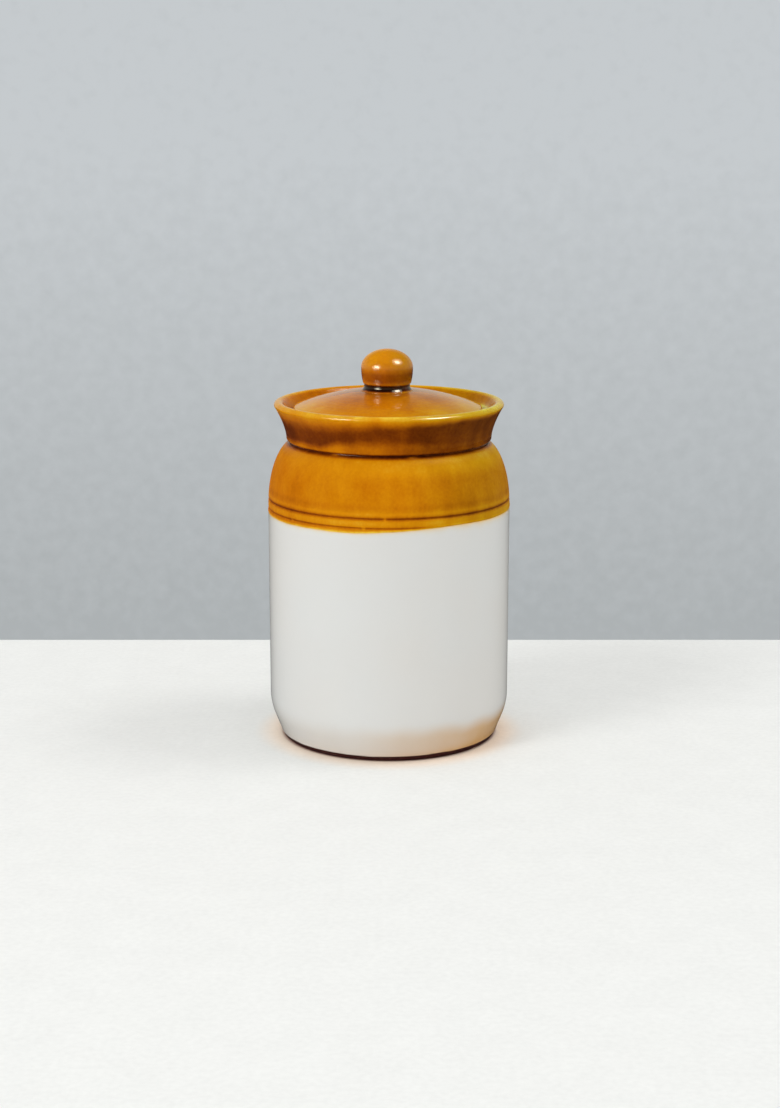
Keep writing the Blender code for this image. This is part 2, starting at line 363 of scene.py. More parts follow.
coatDepth = {  # from 0 on thin edges to 1 in deep pools. Three values are for left, middle and right
    "bead": (0.44, 0.52, 0.78),
    "collarHeights": (137.0, 139.5, 146.0, 150.0),
    "collar": (0.46, 0.33, 0.23),           # at the last three of them, the first has the bead's
    # dark belt on the collar: glaze that ran together, and painted shade on the collar's downward face
    "belt": (0.80, 0.76, 0.77),
    "beltLow": (136.9, 139.6, 139.8, 137.4),
    "beltLowSides": (-1.0, -0.78, 0.0, 1.0),
    "beltLowSoft": (3.6, 7.0, 4.0),
    "beltHigh": (146.6, 148.4, 149.4),
    "beltHighSoft": (9.5, 6.0, 3.2),
    "shoulder": (0.385, 0.365, 0.445),
    "shoulderThin": (0.05, 0.15, 0.17),     # how much less there is at its top
    "thinFrom": (123.0, 130.5),
    "shoulderRings": (                      # height, half width, how much more
        (113.6, 1.2, 0.05),
        (111.0, 0.7, -0.08),
        (107.0, 1.5, -0.11),
        (109.1, 0.70, 0.33),                # in the upper groove, gathered glaze and painted shade
        (105.0, 0.50, 0.24),                # and in the lower one, the same
    ),
    "dipEdge": -0.34,
    "dipEdgeReach": 1.4,
    "inner": 0.44,                          # inside the collar, where one place is lightened into a painted highlight
    # darker ring at the collar's foot: gathered glaze and painted shade of the gap by the lid
    "innerGatherAndShade": (146.0, 1.1, 0.45),
    "innerBright": (146.8, 1.2, -1.3),
    "lip": 0.09,
    "lipLeft": 0.07,
    "lipFrom": (151.0, 149.8),              # on its inside and its outside
    "lipFull": 152.4,
    # dark in the crease: gathered glaze and painted shade
    "crease": 0.85,
    "creaseShadeReach": (0.85, 1.25),            # upward and downward
    "drop": -0.30,
}
brightInside = (8.0, 15.0)  # azimuth and half width of the painted highlight inside the collar


def coatPool(angle):
    # how much glaze lies at each point of the coat. It ran together in a dark belt on the collar, high and
    # even on the right of the photograph, lower and softer on its left
    # the belt, the grooves, the crease and the collar's foot are partly painted shade, and one place inside
    # the collar is a painted highlight
    radius, height = np.array(coatFront(angle)).T
    side = sideOf(angle)

    def across(name):
        return np.interp(side, (-1.0, 0.0, 1.0), coatDepth[name])

    stray = wander(angle, 3.0, 7.0)
    bead = across("bead") + 0.10 * wander(angle, 5.0, 1.0)
    # the belt's darkness is partly painted shade
    low = np.interp(side, coatDepth["beltLowSides"], coatDepth["beltLow"]) + stray
    high = across("beltHigh") + stray
    lowSoft, highSoft = across("beltLowSoft"), across("beltHighSoft")
    belt = smoothStep(height, low - lowSoft / 2, low + lowSoft / 2)
    belt *= 1 - smoothStep(height, high - highSoft / 2, high + highSoft / 2)
    dark = across("belt") + 0.08 * wander(angle, 6.0, 12.0)
    collar = np.interp(height, coatDepth["collarHeights"], (bead, *coatDepth["collar"]))
    collar += (dark - collar) * belt

    shoulder = across("shoulder") - across("shoulderThin") * smoothStep(height, *coatDepth["thinFrom"])
    # the two rings in the grooves are partly painted shade
    for middle, halfWidth, more in coatDepth["shoulderRings"]:
        shoulder += more * besideHeight(height, middle, halfWidth)
    overEdge = height - dipEdge(angle)
    shoulder += coatDepth["dipEdge"] * (1 - smoothStep(overEdge, 0.0, coatDepth["dipEdgeReach"]))

    inner = coatDepth["inner"] + 0.10 * wander(angle, 2.0, 3.0)
    # gathered glaze and painted shade at the collar's foot
    inner += coatDepth["innerGatherAndShade"][2] * besideHeight(height, *coatDepth["innerGatherAndShade"][:2])
    # painted highlight: the glaze is made thin and light at one place inside the collar
    bright = besideAngle(angle, *brightInside)
    inner += coatDepth["innerBright"][2] * bright * besideHeight(height, *coatDepth["innerBright"][:2])

    middle = jarShape["crease"] + jarShape["creaseRound"]
    pool = np.where(height > middle, collar, shoulder)
    pool[:lipTop] = inner[:lipTop]
    start = np.where(np.arange(len(height)) < lipTop, *coatDepth["lipFrom"])
    thin = coatDepth["lip"] + coatDepth["lipLeft"] * max(-cos(angle), 0.0)
    pool += (thin - pool) * smoothStep(height, start, coatDepth["lipFull"])
    # the crease is darkened with gathered glaze and painted shade
    upward, downward = coatDepth["creaseShadeReach"]
    away = np.where(height > middle, (height - middle) / upward, (middle - height) / downward)
    pool[lipTop:] += ((coatDepth["crease"] - pool) * np.exp(-away ** 3))[lipTop:]
    for drop in dropsNear(angle):
        pool += [coatDepth["drop"] * dropHere(angle, r, h, drop) for r, h in zip(radius, height)]
    return faceAndBack(np.clip(pool, 0.0, 1.0))


coatShine = {
    # the lip, the bead and the crease shine, the shoulder is satin
    "heights": (102.0, 104.0, 112.0, 118.0, 130.0, 132.5, 134.0, 136.5, 138.5, 148.0, 150.5, 152.5),
    "dull": (0.70, 0.70, 0.75, 0.85, 0.80, 0.35, 0.20, 0.22, 0.45, 0.45, 0.20, 0.14),
    "innerShare": 0.6,          # inside the collar, and not under the lowest
    "lowest": 0.14,
    "dropDull": 0.07,
    "dropShare": 0.6,
    "wetLip": (150.2, 151.8),
    "wetPlaces": (-114.0, -67.0),  # azimuths where the lip shines whitest
    "wetHalfWidth": 13.0,
    "wetElsewhere": 0.32,
    "wetCrease": (134.8, 1.6, 0.22),
    "wetInside": (146.8, 2.0),
}


def coatDull(angle):
    # roughness
    radius, height = np.array(coatFront(angle)).T
    dull = np.interp(height, coatShine["heights"], coatShine["dull"])
    dull[:lipTop] = np.maximum(dull[:lipTop] * coatShine["innerShare"], coatShine["lowest"])
    for drop in dropsNear(angle):
        less = coatShine["dropShare"] * (dull - coatShine["dropDull"])
        dull -= less * [dropHere(angle, r, h, drop) for r, h in zip(radius, height)]
    return faceAndBack(dull)


def coatWet(angle):
    # the glaze shines whitest on the lip, most in two places, and a little on the bead and in the crease
    height = np.array(coatFront(angle))[:, 1]
    places = sum(besideAngle(angle, azimuth, coatShine["wetHalfWidth"]) for azimuth in coatShine["wetPlaces"])
    elsewhere = coatShine["wetElsewhere"]
    wet = smoothStep(height, *coatShine["wetLip"]) * (elsewhere + (1 - elsewhere) * places)
    wet += coatShine["wetCrease"][2] * besideHeight(height, *coatShine["wetCrease"][:2])
    inside = besideAngle(angle, *brightInside) * besideHeight(height, *coatShine["wetInside"])
    wet[:lipTop] += inside[:lipTop]
    return faceAndBack(np.clip(wet, 0.0, 1.0))


# White glazed clay body of the jar

whiteJar = {
    "underCoat": 0.30,          # how deep the clay lies under the amber glaze
    "glazeEnds": 2.30,          # height where the white glaze stops above the foot; the bare band below it carries painted contact shade
    "glazeEndWave": 0.3,
    "glazeRoll": 0.12,
    "rollFade": 0.6,
    "rollWithin": (44.0, 12.0),  # radius outside which, and height under which, the glaze's end is shaped
    "innerMarks": 0.10,         # throwing rings inside
    "innerMarkPitch": 7.5,
    "steadyFloor": 12.0,        # radius inside which they fade out
    "innerRows": 60,
    "underRows": 25,            # under the coat's band
    "underEdge": 0.25,          # where they start above the dip edge
    "wallRows": 110,
    "columns": 240,
}


def insideJar():
    # from the middle of the floor up the inside to the ledge
    inner = jarShape["wallRadius"] - jarShape["wall"]
    top = jarShape["crease"] - jarShape["throatBelowCrease"]
    floor = (inner, jarShape["floorHeight"])
    middle, wall = (0.0, jarShape["floorHeight"]), (inner, jarShape["shoulderStart"])
    corner = roundedCorner(middle, floor, wall, jarShape["floorRound"], 14)
    line = straightLine(middle, corner[0], 20)[:-1] + corner
    for i in range(1, whiteJar["innerRows"] + 1):
        height = corner[-1][1] + (top - corner[-1][1]) * i / whiteJar["innerRows"]
        line.append((shoulderRadius(height, inner, jarShape["throatRadius"], top), height))
    marked = []
    for radius, height in line:
        depth = whiteJar["innerMarks"] * sin(2 * pi * (height + 0.4 * radius) / whiteJar["innerMarkPitch"])
        marked.append((radius + depth * min(1.0, radius / whiteJar["steadyFloor"]), height))
    ledge = (jarShape["throatRadius"], jarShape["ledgeHeight"])
    ledgeEnd = (jarShape["ledgeRadius"], jarShape["ledgeHeight"])
    turn = roundedCorner(marked[-1], ledge, ledgeEnd, jarShape["ledgeRound"], 6)
    marked += straightLine(marked[-1], turn[0], 10)[1:-1]
    return marked + turn + straightLine(turn[-1], ledgeEnd, 5)[1:]


def footOfJar():
    # from the wall down the bevel, under the foot ring and across the recess
    wall = (jarShape["wallRadius"], jarShape["wallMiddle"])
    bevel = (jarShape["wallRadius"], jarShape["bevelHeight"])
    foot = (jarShape["wallRadius"] - jarShape["bevelInset"], 0.0)
    ring = (foot[0] - jarShape["footRing"], 0.0)
    line = roundedCorner(wall, bevel, foot, jarShape["bevelRound"], 12)
    footTurn = roundedCorner(bevel, foot, ring, jarShape["footRound"], 14)
    line += straightLine(line[-1], footTurn[0], 36)[1:-1] + footTurn
    recess = (ring[0] - jarShape["recessDraft"], jarShape["footRecess"])
    edgeRound, floorRound = jarShape["recessRounds"]
    recessTurn = roundedCorner(ring, recess, (0.0, recess[1]), floorRound, 6)
    line += roundedCorner(footTurn[-1], ring, recess, edgeRound, 5) + recessTurn
    return line + straightLine(recessTurn[-1], (0.0, recess[1]), 14)[1:]


insideRows = insideJar()
footRows = footOfJar()
underCoatRows = len(insideRows) + len(sharedCollar) + len(shoulderHeights) + whiteJar["underRows"]


def glazeEndAt(angle):
    return whiteJar["glazeEnds"] + whiteJar["glazeEndWave"] * wander(angle, 3.0, 9.0)


def bodyLine(angle):
    edge, filled = dipEdge(angle), amberCoat["grooveFill"] * edgeRise(angle)
    line = list(insideRows) + sunkLine(sharedCollar, whiteJar["underCoat"])
    line += [(outsideRadius(h) - whiteJar["underCoat"], h) for h in shoulderHeights]
    band, underRows = amberCoat["band"], whiteJar["underRows"]
    for i in range(underRows):
        height = band + (edge + whiteJar["underEdge"] - band) * i / (underRows - 1)
        line.append((outsideRadius(height, filled) - whiteJar["underCoat"], height))
    for i in range(whiteJar["wallRows"]):
        height = edge + (footRows[0][1] - edge) * (i / whiteJar["wallRows"]) ** 1.6
        line.append((outsideRadius(height, filled), height))
    glazeEnds = glazeEndAt(angle)
    outside, under = whiteJar["rollWithin"]
    for radius, height in footRows:
        if radius > outside and height < under:  # the glaze ends in a small roll, the clay below it is bare
            above = height - glazeEnds
            radius += whiteJar["glazeRoll"] * (exp(-above / whiteJar["rollFade"]) if above > 0 else -1.0)
        line.append((radius, height))
    return [handThrown(angle, *point) for point in line]


whiteBurn = {  # what the kiln and the amber glaze left on the clay and on the white glaze, with painted shade at the foot and painted warm bounce light on the bevel
    "foot": 1.0,
    "ledge": 0.25,
    "footBelow": 20.0,
    "stainReach": (0.45, 0.95),  # in the middle and at the right
    "flashTop": 18.0,
    "flashSoft": (-8.0, 0.5),
    "flashFoot": 0.5,           # how much stronger it gets at the foot, and over what height
    "flashFootReach": 1.6,
    "flashAzimuths": (-180.0, -140.0, -112.0, -90.0, -62.0, -38.0, -10.0, 25.0, 60.0, 180.0),
    "flash": (0.08, 0.09, 0.16, 0.36, 0.72, 1.0, 1.1, 0.5, 0.15, 0.08),
}


def bodyBare(angle):
    # 1 where the clay is bare, at the foot and on the ledge that the lid sits on
    height = np.array(bodyLine(angle))[:, 1]
    glazeEnds = glazeEndAt(angle)
    bare = 1 - smoothStep(height, glazeEnds - 0.1, glazeEnds + 0.1)
    bare[:len(insideRows)] = height[:len(insideRows)] > jarShape["ledgeHeight"] - 0.5
    return bare


def bodyToast(angle):
    # the foot is burnt darker than the ledge, and its near-black colour is partly painted contact shade
    height = np.array(bodyLine(0.0))[:, 1]
    return np.where(height < whiteBurn["footBelow"], whiteBurn["foot"], whiteBurn["ledge"])


def bodyStain(angle):
    # amber glaze that ran out thin over the white, just under the dip edge
    height = np.array(bodyLine(angle))[:, 1]
    reach = np.interp(sideOf(angle), (0.0, 1.0), whiteBurn["stainReach"])
    reach *= 1 + 0.5 * wander(angle, 9.0, 5.0)
    stain = np.exp(-np.maximum(dipEdge(angle) - height, 0.0) / reach)
    stain[:len(insideRows)] = 0.0
    return stain


def bodyFlash(angle):
    # warm blush on the bevel, strongest at the right as seen from the camera: partly what the kiln left,
    # partly painted warm light bounced up from the table
    height = np.array(bodyLine(angle))[:, 1]
    strength = np.interp(azimuthOf(angle), whiteBurn["flashAzimuths"], whiteBurn["flash"])
    top = whiteBurn["flashTop"] + 1.4 * wander(angle, 4.0, 6.0)
    below, above = whiteBurn["flashSoft"]
    flash = strength * (1 - smoothStep(height, top + below, top + above))
    overFoot = np.maximum(height - whiteJar["glazeEnds"], 0.0)
    flash *= 1 + whiteBurn["flashFoot"] * np.exp(-overFoot / whiteBurn["flashFootReach"])
    flash[:underCoatRows] = 0.0
    return np.clip(flash, 0.0, 1.2)


# Lid

lidShape = {
    "seat": lidLow.z + 8.0,     # the locating ring reaches ringDepth below it
    "radius": 42.0,
    "edge": 3.5,
    "edgeRound": 1.1,
    "bareEdge": 0.8,
    "rise": 7.8,
    "clay": 5.5,
    "ringRadius": 38.3,
    "ringWall": 4.0,
    "ringDepth": 8.0,
    "ringRound": 1.0,
    "hollowRows": 30,
    "glaze": 0.35,
    "glazeFrom": 9.0,           # radius under the knob where the coat starts
    "domeRows": 90,
    "aside": (-0.5, 0.1),       # where the lid lies in its seat, off the jar's axis
    "oval": 0.08,
    "sag": 0.08,                # how much lower its edge is on one side
    "turningMarks": 0.014,
    "turningPitch": 2.7,
    "columns": 240,
}


def domeHeight(radius):
    return lidShape["seat"] + lidShape["edge"] + lidShape["rise"] * (1 - (radius / lidShape["radius"]) ** 2)


def handTurned(angle, radius, height):
    drift = lidShape["oval"] * cos(2 * angle - 0.9) * min(1.0, radius / 20.0)
    lift = lidShape["sag"] * sin(angle - 0.8) * smoothStep(radius, 20.0, lidShape["radius"])
    marks = smoothStep(radius, 14.0, 20.0) * (1 - smoothStep(radius, 38.0, 41.0))
    marks *= smoothStep(height, 149.5, 151.5)
    turn = 2 * pi * radius / lidShape["turningPitch"] + 1.5 * sin(angle)
    lift += lidShape["turningMarks"] * marks * sin(turn)
    return radius + drift, height + lift


def domeLine():
    # the lid's glazed face from under the knob outward and down its edge
    start, count = lidShape["glazeFrom"], lidShape["domeRows"]
    radii = [start + (lidShape["radius"] - start) * i / count for i in range(count + 1)]
    dome = [(r, domeHeight(r)) for r in radii]
    edge = (lidShape["radius"], lidShape["seat"] + lidShape["bareEdge"])
    corner = roundedCorner(dome[-6], dome[-1], edge, lidShape["edgeRound"], 10)
    kept = [point for point in dome[:-1] if point[0] < corner[0][0] - 0.3]
    return kept + corner + straightLine(corner[-1], edge, 5)[1:]


domeRows = domeLine()


def lidCoatLine(angle):
    shown = [handTurned(angle, *point) for point in domeRows]
    return shown + sunkLine(shown, lidShape["glaze"])[::-1]


lidDepth = {  # how deep its glaze lies, from the knob's foot outward
    "radii": (10.5, 13.0, 22.0, 36.0, 40.0, 41.5),
    # thinner toward the rim, set partly as a painted sheen
    "dome": (0.58, 0.50, 0.46, 0.27, 0.22, 0.20),
    "front": 0.11,              # how much more there is at the front
    "frontPlace": (-90.0, 26.0),
    "edge": 0.85,               # where it gathers at the edge's foot, with painted shade of the gap
    "edgeOutside": 41.5,
    "edgeHeights": (0.9, 2.0),
    "dull": 0.12,
}


def lidPool(angle):
    radius, height = np.array(domeRows).T
    # glaze thinning toward the rim, partly a painted sheen
    pool = np.interp(radius, lidDepth["radii"], lidDepth["dome"])
    pool += 0.10 * wander(angle, 2.5, 8.0)
    pool += lidDepth["front"] * besideAngle(angle, *lidDepth["frontPlace"]) * smoothStep(radius, 20.0, 32.0)
    # gathered glaze and painted shade of the gap at the edge's foot
    overFoot = height - (lidShape["seat"] + lidShape["bareEdge"])
    atEdge = (radius > lidDepth["edgeOutside"]) * (1 - smoothStep(overFoot, *lidDepth["edgeHeights"]))
    pool += (lidDepth["edge"] - pool) * atEdge
    return faceAndBack(np.clip(pool, 0.0, 1.0))


def underLid():
    # from the lid's edge along the seat, round the locating ring and through the hollow to the middle
    inner = lidShape["ringRadius"] - lidShape["ringWall"]
    seat, low = lidShape["seat"], lidShape["seat"] - lidShape["ringDepth"]
    edge = (lidShape["radius"] - lidShape["glaze"], seat)
    ringTop = (lidShape["ringRadius"], seat)
    lowOuter, lowInner = (lidShape["ringRadius"], low), (inner, low)
    line = straightLine(edge, ringTop, 6)
    line += roundedCorner(ringTop, lowOuter, lowInner, lidShape["ringRound"], 8)
    line += roundedCorner(lowOuter, lowInner, (inner, seat), lidShape["ringRound"], 8)
    hollow = [(inner - 0.2, domeHeight(inner) - lidShape["clay"] - 1.2)]
    for i in range(1, lidShape["hollowRows"] + 1):
        radius = inner * (1 - i / lidShape["hollowRows"])
        hollow.append((radius, domeHeight(radius) - lidShape["clay"]))
    return line + hollow


underRows = underLid()


def lidClayLine(angle):
    top = [(0.0, domeHeight(0.0) - lidShape["glaze"])] + sunkLine(domeRows, lidShape["glaze"])
    return [handTurned(angle, *point) for point in top + underRows]


def lidBare(angle):
    radius, height = np.array(lidClayLine(0.0)).T
    seatRing = (np.abs(height - lidShape["seat"]) < 0.9) & (radius > lidShape["ringRadius"] - 0.1)
    return seatRing.astype(float)


# Knob

knob = {
    "radius": knobHigh.x,
    "top": knobHigh.z,
    "equator": 10.8,            # heights from the knob's base
    "tuck": (10.85, 4.65),
    "rim": (10.60, 3.85),
    "waist": (10.15, 2.45),
    "flare": (10.80, 1.15),
    "foot": 11.9,               # radius where its glaze runs out on the lid
    "aside": (-0.8, 0.1),
    "ballRows": 24,
    "columns": 160,
}


def knobLine():
    # from the top over the ball, in at its lower rim, through the cove and out to the foot
    base = knobLow.z
    radius, equator = knob["radius"], base + knob["equator"]
    line = []
    for i in range(knob["ballRows"] + 1):
        t = pi / 2 * (1 - i / knob["ballRows"])
        line.append((radius * cos(t) if i else 0.0, equator + (knob["top"] - equator) * sin(t)))
    tuck = (knob["tuck"][0], base + knob["tuck"][1])
    line += curveLine(line[-1], (radius, equator - 3.6), tuck, 20)[1:]
    rim = (knob["rim"][0], base + knob["rim"][1])
    line += curveLine(tuck, (tuck[0] - 0.05, rim[1] + 0.20), rim, 8)[1:]
    flare = (knob["flare"][0], base + knob["flare"][1])
    aim = (knob["waist"][0] * 2 - (rim[0] + flare[0]) / 2, base + knob["waist"][1])
    line += curveLine(rim, aim, flare, 16)[1:]
    end = (knob["foot"], domeHeight(knob["foot"]) + 0.03)
    line += curveLine(flare, (flare[0] + 0.25, end[1] + 0.12), end, 10)[1:]
    under = (knob["foot"] - 0.6, end[1] - 0.5)
    return line + [under, (0.0, under[1])]


knobRows = knobLine()


knobDepth = {  # by height from its base: black in the cove, gathered glaze with painted shade; thin on the ball's lower rim, with a painted highlight, and on the foot's edge
    "heights": (0.5, 0.8, 1.3, 3.3, 3.8, 4.5, 5.6, 8.2, 10.0, 12.0, 18.9),
    "glaze": (0.40, 0.60, 1.00, 1.00, 0.38, 0.46, 0.62, 0.61, 0.45, 0.34, 0.29),
    "rightShade": 0.14,            # painted shade: how much darker the ball is made at its right
    "ballFrom": (3.3, 4.5),
    "steady": 8.0,              # radius inside which the unevenness fades out
    "dullHeights": (0.5, 1.0, 3.6, 5.0),
    "dull": (0.16, 0.09, 0.09, 0.13),
}


def knobPool(angle):
    radius, height = np.array(knobRows).T
    height -= knobLow.z
    # the cove's black is partly painted shade, the lower rim's light band partly a painted highlight
    pool = np.interp(height, knobDepth["heights"], knobDepth["glaze"])
    outward = np.minimum(radius / knob["radius"], 1.0)
    # painted shade on the ball's right side
    pool += knobDepth["rightShade"] * cos(angle) * smoothStep(height, *knobDepth["ballFrom"]) * outward
    pool += 0.08 * wander(angle, 1.5, 5.5) * smoothStep(radius, 0.0, knobDepth["steady"])
    return np.clip(pool, 0.0, 1.0)


def knobDull(angle):
    # the cove is full of glaze and shines most
    height = np.array(knobRows)[:, 1] - knobLow.z
    return np.interp(height, knobDepth["dullHeights"], knobDepth["dull"])


# Finishes

def place(tree, kind, inputs=None, **settings):
    # adds a shader node. An input is a number, a colour or another node's output
    node = tree.nodes.new("ShaderNode" + kind)
    for name, value in settings.items():
        setattr(node, name, value)
    for name, value in (inputs or {}).items():
        if isinstance(value, bpy.types.NodeSocket):
            tree.links.new(value, node.inputs[name])
        else:
            node.inputs[name].default_value = value
    return node


def maths(tree, operation, first, second, clamp=False):
    return place(tree, "Math", {0: first, 1: second}, operation=operation, use_clamp=clamp).outputs[0]


def mapped(tree, value, start, end, low=0.0, high=1.0, **settings):
    # a value from start to end becomes one from low to high
    inputs = {"Value": value, "From Min": start, "From Max": end, "To Min": low, "To Max": high}
    return place(tree, "MapRange", inputs, **settings).outputs["Result"]


def added(tree, first, second, scale=1.0):
    # first + second * scale
    return place(tree, "Math", {0: second, 1: scale, 2: first}, operation="MULTIPLY_ADD").outputs[0]


def noiseAt(tree, coords, scale, detail=2.0, stretch=None):
    # noise round 0, from about -0.5 to 0.5
    if stretch:
        coords = place(tree, "Mapping", {"Vector": coords, "Scale": stretch}).outputs[0]
    texture = place(tree, "TexNoise", {"Vector": coords, "Scale": scale, "Detail": detail})
    return maths(tree, "SUBTRACT", texture.outputs["Fac"], 0.5)


def ramp(tree, factor, stops):
    # stops are (position, colour)
    node = place(tree, "ValToRGB", {"Fac": factor})
    elements = node.color_ramp.elements
    while len(elements) < len(stops):
        elements.new(0.5)
    for element, (position, colour) in zip(elements, stops):
        element.position = position
        element.color = (*colour, 1.0)
    return node.outputs["Color"]


def mixColours(tree, factor, first, second, kind="MIX"):
    # the node has a set of sockets for each data type, under the same names
    node = place(tree, "Mix", data_type="RGBA", blend_type=kind)
    for name, value, kept in (("Factor", factor, "VALUE"), ("A", first, "RGBA"), ("B", second, "RGBA")):
        socket = next(s for s in node.inputs if s.name == name and s.type == kept)
        if isinstance(value, bpy.types.NodeSocket):
            tree.links.new(value, socket)
        else:
            socket.default_value = value if name == "Factor" else (*value, 1.0)
    return next(s for s in node.outputs if s.type == "RGBA")


def attribute(tree, name):
    return place(tree, "Attribute", attribute_name=name).outputs["Fac"]


def startMaterial(name):
    material = bpy.data.materials.new(name)
    material.use_nodes = True
    tree = material.node_tree
    shader = tree.nodes["Principled BSDF"]
    coords = place(tree, "TexCoord").outputs["Object"]
    return material, tree, shader, coords


amberFinish = {
    "stops": (                  # colour by how much glaze there is
        (0.00, (0.86, 0.60, 0.060)),
        (0.12, (0.72, 0.37, 0.018)),
        (0.26, (0.66, 0.255, 0.002)),
        (0.42, (0.54, 0.165, 0.001)),
        (0.58, (0.36, 0.088, 0.001)),
        (0.74, (0.19, 0.036, 0.001)),
        (0.88, (0.075, 0.010, 0.001)),
        (1.00, (0.016, 0.003, 0.001)),
    ),
    # scale and strength of how uneven the glaze is
    "clouds": (34.0, 0.26),
    "patches": (120.0, 0.15),
    "streaks": (170.0, 0.21),   # runs down the wall
    "streakStretch": (1.0, 1.0, 0.09),
    "grain": (800.0, 0.14),
    "skin": 420.0,
    "uneven": (0.8, 1.2),       # from the smoothest to the roughest patches
    "glassRoughness": 0.12,
    "leftTintAndShade": (0.94, 0.90, 0.8),
    "rightTintAndShade": (0.79, 1.03, 1.0),
    "tintDrift": 22.0,
}


def amberGlaze(name, width, peel, gloss, glossTint, glassy=False):
    # honey glaze over pale clay: light where it is thin, brown to black where it gathers. Across the width
    # it turns from orange to olive, and both sides are darkened with painted shade. Peel is how uneven its
    # skin is
    material, tree, shader, coords = startMaterial(name)
    clouds = noiseAt(tree, coords, amberFinish["clouds"][0])
    patches = noiseAt(tree, coords, amberFinish["patches"][0])
    streaks = noiseAt(tree, coords, amberFinish["streaks"][0], 3.0, amberFinish["streakStretch"])
    grain = noiseAt(tree, coords, amberFinish["grain"][0])
    depth = attribute(tree, "pool")
    for pattern, kind in ((clouds, "clouds"), (patches, "patches"), (streaks, "streaks"), (grain, "grain")):
        depth = added(tree, depth, pattern, amberFinish[kind][1])
    honey = ramp(tree, depth, amberFinish["stops"])
    across = place(tree, "SeparateXYZ", {"Vector": coords}).outputs["X"]
    drift = added(tree, across, noiseAt(tree, coords, amberFinish["tintDrift"]), width / 2)
    # tints across the width, which also darken the sides as painted shade
    tints = ((0.0, amberFinish["leftTintAndShade"]), (0.5, (1.0, 1.0, 1.0)), (1.0, amberFinish["rightTintAndShade"]))
    tint = ramp(tree, mapped(tree, drift, -width / 2, width / 2), tints)
    tree.links.new(mixColours(tree, 1.0, honey, tint, "MULTIPLY"), shader.inputs["Base Color"])
    uneven = mapped(tree, added(tree, clouds, patches), -0.3, 0.3, *amberFinish["uneven"])
    satin = maths(tree, "MULTIPLY", uneven, attribute(tree, "dull"))
    tree.links.new(satin, shader.inputs["Roughness"])
    shader.inputs["IOR"].default_value = 1.5
    shader.inputs["Specular IOR Level"].default_value = gloss
    shader.inputs["Specular Tint"].default_value = (*glossTint, 1.0)
    if glassy:
        tree.links.new(attribute(tree, "wet"), shader.inputs["Coat Weight"])
        shader.inputs["Coat Roughness"].default_value = amberFinish["glassRoughness"]
    skin = noiseAt(tree, coords, amberFinish["skin"])
    height = added(tree, skin, streaks, 0.6)
    bump = place(tree, "Bump", {"Height": height, "Strength": peel, "Distance": 0.0003})
    tree.links.new(bump.outputs["Normal"], shader.inputs["Normal"])
    return material


whiteFinish = {
    "cool": (0.715, 0.72, 0.705),
    "warm": (0.725, 0.705, 0.67),
    "stain": (0.80, 0.53, 0.16),
    "flash": (0.66, 0.40, 0.175),
    "speck": (0.30, 0.24, 0.18),
    "clay": (0.36, 0.21, 0.12),
    # near black: burnt clay with painted contact shade
    "toastedAndShaded": (0.050, 0.003, 0.001),
    "blotches": (0.65, 0.95),   # how uneven the blush is
    "speckCells": 110.0,        # cells to a metre
    "speckChance": 0.80,        # share of the cells that have none
    "speckSize": 0.035,
    "speckEdge": 0.012,
    "speckDark": 0.55,
    "pits": -1.5,
    "grit": 3.0,
    "bareRoughness": 0.45,
}


def whiteGlaze(name, roughness):
    # white glaze with a few iron specks and pinholes. Where "bare" is 1 it is unglazed stoneware
    material, tree, shader, coords = startMaterial(name)
    clouds = noiseAt(tree, coords, 16.0)
    warmth = mapped(tree, clouds, -0.22, 0.22)
    white = mixColours(tree, warmth, whiteFinish["cool"], whiteFinish["warm"])
    blotches = mapped(tree, noiseAt(tree, coords, 45.0, 3.0), -0.25, 0.25, *whiteFinish["blotches"])
    # warm blush, partly painted bounce light
    flash = maths(tree, "MULTIPLY", attribute(tree, "flash"), blotches)
    white = mixColours(tree, flash, white, whiteFinish["flash"])
    white = mixColours(tree, attribute(tree, "stain"), white, whiteFinish["stain"])
    cells = place(tree, "TexVoronoi", {"Vector": coords, "Scale": whiteFinish["speckCells"]})
    chance = place(tree, "SeparateColor", {"Color": cells.outputs["Color"]}).outputs["Red"]
    size = mapped(tree, chance, whiteFinish["speckChance"], 1.0, 0.0, whiteFinish["speckSize"])
    inside = maths(tree, "SUBTRACT", size, cells.outputs["Distance"])
    speck = mapped(tree, inside, 0.0, whiteFinish["speckEdge"], 0.0, whiteFinish["speckDark"])
    specked = mixColours(tree, speck, white, whiteFinish["speck"])
    bare = attribute(tree, "bare")
    grit = noiseAt(tree, coords, 700.0, 4.0)
    toast = added(tree, attribute(tree, "toast"), grit, 0.4)
    # burnt clay, darkened at the foot with painted contact shade
    clay = mixColours(tree, toast, whiteFinish["clay"], whiteFinish["toastedAndShaded"])
    tree.links.new(mixColours(tree, bare, specked, clay), shader.inputs["Base Color"])
    gloss = mapped(tree, clouds, -0.25, 0.25, roughness * 0.8, roughness * 1.3)
    dull = maths(tree, "MULTIPLY", bare, whiteFinish["bareRoughness"])
    tree.links.new(maths(tree, "MAXIMUM", gloss, dull), shader.inputs["Roughness"])
    shader.inputs["IOR"].default_value = 1.5
    skin = noiseAt(tree, coords, 300.0)
    pits = maths(tree, "MULTIPLY", speck, whiteFinish["pits"])
    gritty = maths(tree, "MULTIPLY", grit, bare)
    height = added(tree, added(tree, skin, pits), gritty, whiteFinish["grit"])
    bump = place(tree, "Bump", {"Height": height, "Strength": 0.12, "Distance": 0.0003})
    tree.links.new(bump.outputs["Normal"], shader.inputs["Normal"])
    return material


# Making the pieces

